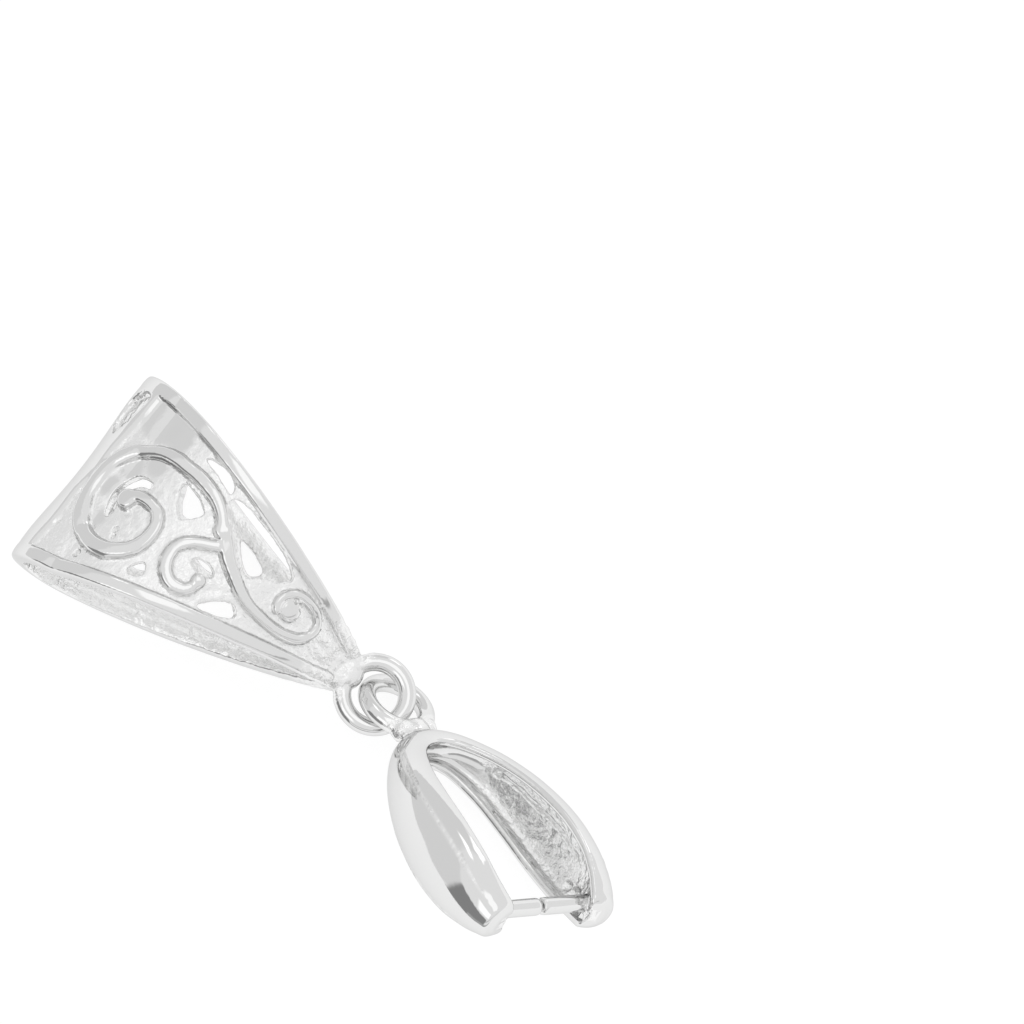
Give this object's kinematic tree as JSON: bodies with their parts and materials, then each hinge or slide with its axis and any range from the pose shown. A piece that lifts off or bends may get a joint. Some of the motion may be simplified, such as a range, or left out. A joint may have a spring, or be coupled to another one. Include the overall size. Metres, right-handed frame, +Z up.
{
  "type": "bail finding",
  "caption": "Pierced teardrop bail with raised scrollwork, a pinch bail linked below it by eye rings, lying on its back.",
  "frame": {"origin": "on the surface that the part lies on, below the middle of its bounding box", "axes": "+Z up from the surface, +Y from the rings towards the teardrop's crest, +X across the teardrop, along the chain's way through it"},
  "size_m": [0.011, 0.0282, 0.0081],
  "materials": {
    "silver_plate": "bright silver plate over cast brass"
  },
  "bodies": {
    "root": {"filigree_bail": "silver_plate", "pinch_bail": "silver_plate"}
  },
  "joints": []
}
